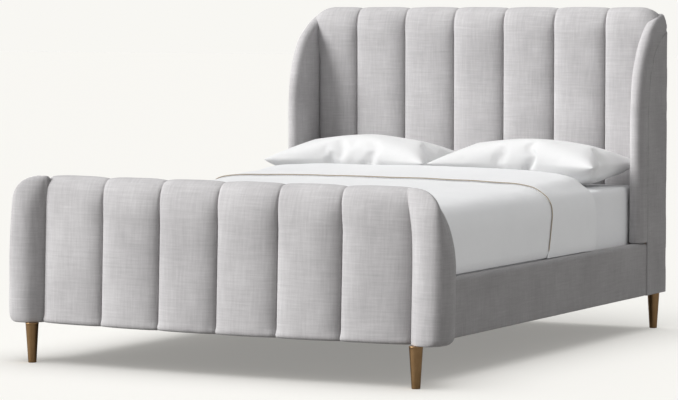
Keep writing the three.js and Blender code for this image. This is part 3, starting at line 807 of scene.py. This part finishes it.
# ------------------------------------------------------------------ mattress
def mattress():
    X, Y0, Y1, Z0, Z1 = 761.5, 100.5, 2127.5, 290.5, 596.8
    prof = [(26, Z0), (16, Z0 + 1), (8, Z0 + 5), (3, Z0 + 12), (0.6, Z0 + 22)] + [(0, z) for z in np.linspace(Z0 + 34, Z1 - 34, 16)] + [(0.6, Z1 - 24), (2.6, Z1 - 14), (7, Z1 - 6.5), (14, Z1 - 2), (24, Z1 - 0.4)] + [(q, Z1) for q in (60, 140, 300, 500)]
    rings = []
    for ins, z in prof:
        x, y0, y1 = X - ins, Y0 + ins, Y1 - ins
        r = max(6.0, 44 - ins * 0.35) if ins < 60 else 30.0
        r = min(r, x - 5)
        ring = []
        per = [(x - r, y1 - r, 0.0, 90), (-x + r, y1 - r, 90.0, 90), (-x + r, y0 + r, 180.0, 90), (x - r, y0 + r, 270.0, 90)]
        for c, (cx, cy, a0, sweep) in enumerate(per):
            for i in range(9):
                a = math.radians(a0 + sweep * i / 8)
                ring.append((cx + r * math.cos(a), cy + r * math.sin(a)))
            nx, ny, na, _ = per[(c + 1) % 4]
            a = math.radians(na)
            p, q = np.array(ring[-1]), np.array((nx + r * math.cos(a), ny + r * math.sin(a)))
            steps = 60 if c in (1, 3) and False else (80 if abs(q[1] - p[1]) > abs(q[0] - p[0]) else 60)
            for k in range(1, steps):
                ring.append(tuple(p + (q - p) * k / steps))
        out = []
        for (px, py) in ring:
            side = smoothstep((30 - ins) / 30)
            corner = math.exp(-math.hypot(abs(px) - X, min(abs(py - Y0), abs(py - Y1))) / 120)
            fold = nz(px, py, z * 0.25, 0.018) * (0.9 + 2.2 * corner) + 0.8 * nz(px, py, z, 0.05) * corner
            bulge = 3.0 * math.sin(PI * min(1.0, max(0.0, (z - Z0) / (Z1 - Z0)))) - 3.0
            sx = 1 if px > 0 else -1
            w = (fold * 0.7 + bulge * 0.6 - 0.5) * side
            nxv, nyv = px / X, (py - (Y0 + Y1) / 2) / ((Y1 - Y0) / 2)
            if abs(nxv) > abs(nyv):
                px += sx * w
            else:
                py += (1 if nyv > 0 else -1) * w
            out.append((px, py, z + (0.6 * nz(px, py, 3, 0.008) if ins > 50 else 0)))
        rings.append(out)
    v, f = loft(rings)
    return make("mattress_fitted_sheet", v, f, SHEET, sharp=70)


o = mattress()
piece(o, ["mattress"], body="mattress")

# ------------------------------------------------------------------ duvet
TOPS = np.array([[98, 628], [104, 638], [130, 644], [700, 646], [1150, 650], [1250, 660], [1440, 670], [1550, 678], [1585, 670], [1600, 646]], float)


def crown_at(y):
    return float(np.interp(y, TOPS[:, 0], TOPS[:, 1]))


HALF = [(783.5, 369.5), (786, 374), (787, 392), (787, 440), (787, 490), (786.5, 520), (783, 548), (775, 574), (760, 596), (736, 614)]


def duvet_line(y, lift, n=84):
    """Outer cross-section from the right hem over the top to the left hem."""
    h = crown_at(y) - 598
    foot = 14.5 * (1 - min(1.0, max(0.0, (y - 98) / 50.0)))
    right = [(x - foot, z) for x, z in HALF] + [(700, 598 + 0.60 * h), (650, 598 + 0.76 * h), (590, 598 + 0.86 * h), (500, 598 + 0.925 * h), (400, 598 + 0.96 * h), (200, 598 + 0.99 * h), (0, 598 + h)]
    line = catmull(right + [(-x, z) for x, z in reversed(right[:-1])], 6)
    d = np.concatenate([[0], np.cumsum(np.hypot(*np.diff(line, axis=0).T))])
    s = np.linspace(0, d[-1], n)
    p = np.stack([np.interp(s, d, line[:, 0]), np.interp(s, d, line[:, 1])], 1)
    t = np.gradient(p, axis=0)
    nrm = np.stack([t[:, 1], -t[:, 0]], 1)
    nrm /= np.linalg.norm(nrm, axis=1)[:, None]
    if nrm[n // 2][1] < 0:
        nrm = -nrm
    return p + nrm * lift, nrm, s


def duvet_relief(x, y, z, s):
    """Soft unevenness of the filling and the folds down the sides, mm outward."""
    side = float(smoothstep((610 - z) / 60))
    w = 3.4 * nz(x, y, z, 0.0042) + 1.5 * nz(x + 50, y, z, 0.011)
    w += side * (2.4 * nz(x * 0.1, y + 0.55 * z, 4, 0.013) + 1.0 * nz(x * 0.1, y - 0.3 * z, 9, 0.032))
    return w


def cloth_layer(name, y0, y1, outer_lift, thick, mat, rows, round_head=14.0, round_foot=8.0, relief=1.0, extra=None):
    """A closed, padded layer that follows the duvet's section between y0 and y1."""
    us = np.linspace(0, 1, rows)
    ys = y0 + (y1 - y0) * us
    # rows bunch up at both ends so the edges can be rounded
    ys = np.concatenate([[y0, y0 + 0.8, y0 + 2.5, y0 + 5], ys[1:-1], [y1 - 9, y1 - 5, y1 - 2, y1 - 0.6, y1]])
    ys = np.unique(np.round(ys, 3))
    rings = []
    n = 110
    for y in ys:
        e0, e1 = y - y0, y1 - y
        rf = min(1.0, e0 / round_foot)
        rh = min(1.0, e1 / round_head)
        k = math.sqrt(max(0.0, 1 - (1 - rf) ** 2)) * math.sqrt(max(0.0, 1 - (1 - rh) ** 2))
        t = thick * (0.12 + 0.88 * k)
        p, nrm, s = duvet_line(y, 0.0, n)
        mid = outer_lift - thick / 2
        outer, inner = [], []
        for i in range(n):
            x, z = p[i]
            w = relief * duvet_relief(x, y, z, s[i])
            if extra:
                w += extra(x, y, z)
            edge = min(i, n - 1 - i)
            kk = math.sqrt(max(0.0, 1 - (1 - min(1.0, (edge + 0.35) / 2.2)) ** 2))
            tt = t * kk
            lim = max(0.0, min(1.0, (z - 598) / 60 + 0.35))
            a = mid + tt / 2 + w * (0.35 + 0.65 * lim) * (0.3 + 0.7 * kk)
            b = mid - tt / 2 + w * (0.35 + 0.65 * lim) * (0.3 + 0.7 * kk) * 0.5
            outer.append((x + nrm[i][0] * a, y, z + nrm[i][1] * a))
            inner.append((x + nrm[i][0] * b, y, z + nrm[i][1] * b))
        rings.append(outer + inner[::-1])
    verts = [tuple(q) for ring in rings for q in ring]
    m = 2 * n
    faces = []
    for r in range(len(rings) - 1):
        for i in range(m):
            j = (i + 1) % m
            faces.append((r * m + i, r * m + j, (r + 1) * m + j, (r + 1) * m + i))
    for r in (0, len(rings) - 1):
        for i in range(n - 1):
            a, b, c, d = r * m + i, r * m + i + 1, r * m + (m - 2 - i), r * m + (m - 1 - i)
            faces.append((a, b, c, d))
    return make(name, verts, faces, mat, sharp=70)


HEM_Y = 1196.0


def hem_curve(x, z):
    """Along-bed position of the folded hem, which wanders a little."""
    return HEM_Y + 5 * math.sin(x * 0.006 + 0.6) + 7 * nz(x, 2, z, 0.006) - 0.27 * max(0.0, 560 - z)


def body_extra(x, y, z):
    # the body of the duvet dips under the turned-back part
    return -3.0 * float(smoothstep((y - (HEM_Y - 20)) / 60)) + 2.0 * math.exp(-((y - (HEM_Y - 40)) / 38) ** 2)


body = cloth_layer("duvet_body", 98.5, 1566, -1.5, 15.0, DUVET_M, 118, round_head=10, round_foot=12, extra=body_extra)
piece(body, ["duvet"], body="duvet")


def cuff_extra(x, y, z):
    e = (y - HEM_Y)
    return 1.6 * math.exp(-(e / 22) ** 2) + 4.5 * float(smoothstep((y - 1480) / 90))


cuff = cloth_layer("duvet_turned_back_cuff", HEM_Y, 1600, 4.4, 7.0, DUVET_M, 46, round_head=20, round_foot=4, relief=0.85, extra=cuff_extra)
# let the hem wander and lean
for v in cuff.data.vertices:
    x, y, z = v.co.x * 1000, (v.co.y - YS) * 1000, v.co.z * 1000
    k = 1 - float(smoothstep((y - HEM_Y) / 220))
    v.co.y += (hem_curve(x, z) - HEM_Y) * k * 0.001
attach(cuff, "duvet")


def tube(name, pts, r, mat, seg=10):
    pts = np.asarray(pts, float)
    rings = []
    up = np.array([0.0, 1.0, 0.0])
    for i, p in enumerate(pts):
        t = pts[min(i + 1, len(pts) - 1)] - pts[max(i - 1, 0)]
        t /= np.linalg.norm(t)
        a = np.cross(t, up)
        a /= np.linalg.norm(a)
        b = np.cross(t, a)
        rr = r * (0.6 if i in (0, len(pts) - 1) else 1.0)
        rings.append([tuple(p + rr * (math.cos(2 * PI * k / seg) * a + math.sin(2 * PI * k / seg) * b)) for k in range(seg)])
    v, f = loft(rings)
    return make(name, v, f, mat, sharp=60)


line, nrm, s = duvet_line(HEM_Y, 0.0, 150)
pts = []
for i in range(2, 148):
    x, z = line[i]
    lim = max(0.0, min(1.0, (z - 598) / 60 + 0.35))
    w = (0.85 * duvet_relief(x, HEM_Y, z, s[i]) + cuff_extra(x, HEM_Y, z)) * (0.35 + 0.65 * lim)
    a = 2.6 + w
    pts.append((x + nrm[i][0] * a, hem_curve(x, z) - 1.2, z + nrm[i][1] * a))
pipe = tube("duvet_hem_piping", pts, 1.7, PIPING)
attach(pipe, "duvet")

# ------------------------------------------------------------------ pillows
def pillow_mesh(name, W, H, nx, ny, thick):
    """Two layers of cloth joined round the edge, ready to be blown up."""
    verts, index = [], {}
    for layer in (0, 1):
        for j in range(ny + 1):
            for i in range(nx + 1):
                u, v = i / nx * 2 - 1, j / ny * 2 - 1
                edge = i in (0, nx) or j in (0, ny)
                if edge and layer:
                    index[(1, i, j)] = index[(0, i, j)]
                    continue
                # sides bow in slightly between the corners
                x = W / 2 * u * (1 - 0.035 * (1 - v * v))
                y = H / 2 * v * (1 - 0.05 * (1 - u * u))
                z = (1 if layer else -1) * thick * (1 - u * u) ** 0.5 * (1 - v * v) ** 0.5
                index[(layer, i, j)] = len(verts)
                verts.append((x, y, z))
    faces = []
    for layer in (0, 1):
        for j in range(ny):
            for i in range(nx):
                q = [index[(layer, i, j)], index[(layer, i + 1, j)], index[(layer, i + 1, j + 1)], index[(layer, i, j + 1)]]
                faces.append(tuple(q if layer else q[::-1]))
    me = bpy.data.meshes.new(name)
    me.from_pydata([(a * 0.001, b * 0.001, c * 0.001) for a, b, c in verts], [], faces)
    me.update()
    o = bpy.data.objects.new(name, me)
    bpy.context.scene.collection.objects.link(o)
    return o


def inflate(o, pressure, frames, stiff=12.0, bend=0.35, mass=0.25):
    sc = bpy.context.scene
    m = o.modifiers.new("Cloth", "CLOTH")
    c = m.settings
    c.quality = 7
    c.mass = mass
    c.tension_stiffness = c.compression_stiffness = stiff
    c.shear_stiffness = stiff * 0.5
    c.bending_stiffness = bend
    c.tension_damping = c.compression_damping = 8
    c.air_damping = 3
    c.use_pressure = True
    c.uniform_pressure_force = pressure
    c.effector_weights.gravity = 0.0
    m.collision_settings.use_collision = False
    m.point_cache.frame_start = 1
    m.point_cache.frame_end = frames
    for fr in range(1, frames + 1):
        sc.frame_set(fr)
    evaluated(o)
    sc.frame_set(1)
    return o


def pillow(name, s, seed):
    nx, ny = (70, 46)
    o = pillow_mesh(name, 860, 590, nx, ny, 26.0)
    for v in o.data.vertices:
        v.co.z += 0.0012 * noise.noise(Vector((v.co.x * 7 + seed, v.co.y * 7, seed)))
    inflate(o, 4.2, 30, bend=2.5)
    m = o.modifiers.new("ease", "SMOOTH")
    m.factor = 0.5
    m.iterations = 5
    bpy.context.view_layer.update()
    evaluated(o)
    co = np.array([v.co for v in o.data.vertices])
    lo, hi = co.min(0), co.max(0)
    co = (co - (lo + hi) / 2) / ((hi - lo) / 2)
    X0, X1, Y0, Y1, Z0, Z1 = 5.0, 758.0, 1648.0, 2126.0, 598.4, 790.0
    hz = (Z1 - Z0) / 2
    # rests on the mattress: the lower half spreads flat
    z = co[:, 2].copy()
    low = z < 0
    z[low] = -np.minimum(1.0, (-z[low]) ** 0.8 * 1.12)
    zc = (Z0 + Z1) / 2 - 6
    x = (X0 + X1) / 2 + co[:, 0] * (X1 - X0) / 2
    y = (Y0 + Y1) / 2 + co[:, 1] * (Y1 - Y0) / 2
    zz = np.where(z > 0, zc + z * (Z1 - zc), zc + z * (zc - Z0))
    new = np.stack([s * x * 0.001, y * 0.001 + YS, zz * 0.001], 1)
    o.data.vertices.foreach_set("co", new.ravel())
    bm = bmesh.new()
    bm.from_mesh(o.data)
    bmesh.ops.recalc_face_normals(bm, faces=bm.faces)
    bm.to_mesh(o.data)
    bm.free()
    m = o.modifiers.new("sub", "SUBSURF")
    m.levels = m.render_levels = 1
    bpy.context.view_layer.update()
    evaluated(o)
    o.data.materials.clear()
    o.data.materials.append(PILLOW_M)
    finish_mesh(o, 80)
    return o


o = pillow("pillow_soft_right", 1, 1.7)
piece(o, ["pillow_right"], body="pillow_right")
o = pillow("pillow_soft_left", -1, 5.3)
piece(o, ["pillow_left"], body="pillow_left")

# ------------------------------------------------------------------ carried-over CAD nodes
for name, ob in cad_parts.items():
    if ob.hide_render:
        continue
    if name.startswith("slat_") and "ledger" not in name:
        mat = PINE_X
    elif "ledger" in name or "rail_board" in name or name == "center_beam":
        mat = PINE_Y
    elif name.startswith("rail_hook"):
        mat = STEEL
    elif "leveler" in name:
        mat = RUBBER
    elif name.startswith("center_leg"):
        mat = BLACK
    else:
        mat = PLY
    if ob.material_slots:
        for sl in ob.material_slots:
            sl.link = "OBJECT"
            sl.material = mat
    else:
        ob.data.materials.append(mat)

# ------------------------------------------------------------------ floor, light and camera
me = bpy.data.meshes.new("floor")
R = 60.0
me.from_pydata([(-R, -R, 0), (R, -R, 0), (R, R, 0), (-R, R, 0)], [], [(0, 1, 2, 3)])
floor = bpy.data.objects.new("floor", me)
bpy.context.scene.collection.objects.link(floor)
fm, nt, b = nodes_of("studio_floor")
b.inputs["Base Color"].default_value = (0.34, 0.335, 0.325, 1)
b.inputs["Roughness"].default_value = 1.0
b.inputs["Specular IOR Level"].default_value = 0.0
pale = nt.nodes.new("ShaderNodeBsdfDiffuse")
pale.inputs[0].default_value = (0.665, 0.658, 0.634, 1)
lift = nt.nodes.new("ShaderNodeEmission")
lift.inputs[0].default_value = (0.94, 0.93, 0.895, 1)
lift.inputs[1].default_value = 0.29
both = nt.nodes.new("ShaderNodeAddShader")
L(nt, pale.outputs[0], both.inputs[0])
L(nt, lift.outputs[0], both.inputs[1])
lp = nt.nodes.new("ShaderNodeLightPath")
mix = nt.nodes.new("ShaderNodeMixShader")
L(nt, lp.outputs["Is Camera Ray"], mix.inputs[0])
L(nt, b.outputs[0], mix.inputs[1])
L(nt, both.outputs[0], mix.inputs[2])
L(nt, mix.outputs[0], nt.nodes["Material Output"].inputs[0])
me.materials.append(fm)

world = bpy.data.worlds.new("studio")
bpy.context.scene.world = world
world.use_nodes = True
nt = world.node_tree
nt.nodes.clear()
out = nt.nodes.new("ShaderNodeOutputWorld")
tc = nt.nodes.new("ShaderNodeTexCoord")
sp = nt.nodes.new("ShaderNodeSeparateXYZ")
L(nt, tc.outputs["Generated"], sp.inputs[0])
up = math_node(nt, "MAXIMUM", sp.outputs[2], 0.0)
west = math_node(nt, "MAXIMUM", math_node(nt, "MULTIPLY", sp.outputs[0], -1.0), 0.0)
light = nt.nodes.new("ShaderNodeBackground")
light.inputs[0].default_value = (1.0, 0.998, 0.995, 1)
L(nt, math_node(nt, "ADD", math_node(nt, "MULTIPLY_ADD", up, 0.44, 0.14), math_node(nt, "MULTIPLY", west, 0.10)), light.inputs[1])
seen = nt.nodes.new("ShaderNodeBackground")
seen.inputs[0].default_value = (0.94, 0.93, 0.895, 1)
seen.inputs[1].default_value = 1.0
lp = nt.nodes.new("ShaderNodeLightPath")
mix = nt.nodes.new("ShaderNodeMixShader")
L(nt, lp.outputs["Is Camera Ray"], mix.inputs[0])
L(nt, light.outputs[0], mix.inputs[1])
L(nt, seen.outputs[0], mix.inputs[2])
L(nt, mix.outputs[0], out.inputs[0])



def soft_sun(name, toward, strength, angle, lit):
    """A broad distant light that falls on the listed objects."""
    d = bpy.data.lights.new(name, "SUN")
    d.energy = strength
    d.angle = math.radians(angle)
    d.color = (1.0, 0.997, 0.992)
    o = bpy.data.objects.new(name, d)
    bpy.context.scene.collection.objects.link(o)
    o.rotation_euler = (-Vector(toward)).to_track_quat("-Z", "Y").to_euler()
    c = bpy.data.collections.new(name + "_lit")
    for ob in lit:
        c.objects.link(ob)
    o.light_linking.receiver_collection = c
    return o


shown = [ob for ob in bpy.context.scene.objects if ob.type == "MESH" and ob is not floor]
bedding = [ob for ob in shown if ob.name.startswith(("duvet_", "pillow_soft", "mattress_fitted"))]
soft_sun("soft_key", (-0.70, -0.52, 0.47), 4.3, 34, [ob for ob in shown if ob not in bedding])
soft_sun("bedding_key", (-0.62, -0.50, 0.60), 2.55, 40, bedding)
soft_sun("floor_wash", (0.0, 0.0, 1.0), 1.75, 70, [floor])
soft_sun("bedding_fill", (1.0, -0.25, 0.12), 0.95, 60, bedding)
bpy.context.scene.view_settings.view_transform = "Standard"
bpy.context.scene.view_settings.look = "None"

cam_data = bpy.data.cameras.new("camera")
cam = bpy.data.objects.new("camera", cam_data)
bpy.context.scene.collection.objects.link(cam)
TH, F, YH, H, TX, TZ = 0.4959, 2952.3, 5.12, 1337.6, -437.57, 10648.44
c, s = math.cos(TH), math.sin(TH)
cam.location = ((-c * TX + s * TZ) * 0.001, (-s * TX - c * TZ) * 0.001 + YS, H * 0.001)
pitch = math.atan((200 - YH) / F)
cam.rotation_euler = (PI / 2 - pitch, 0, TH)
cam_data.sensor_width = 36
cam_data.lens = F / math.cos(pitch) / 678 * 36
cam_data.clip_end = 300
cam_data.dof.use_dof = False
bpy.context.scene.camera = cam
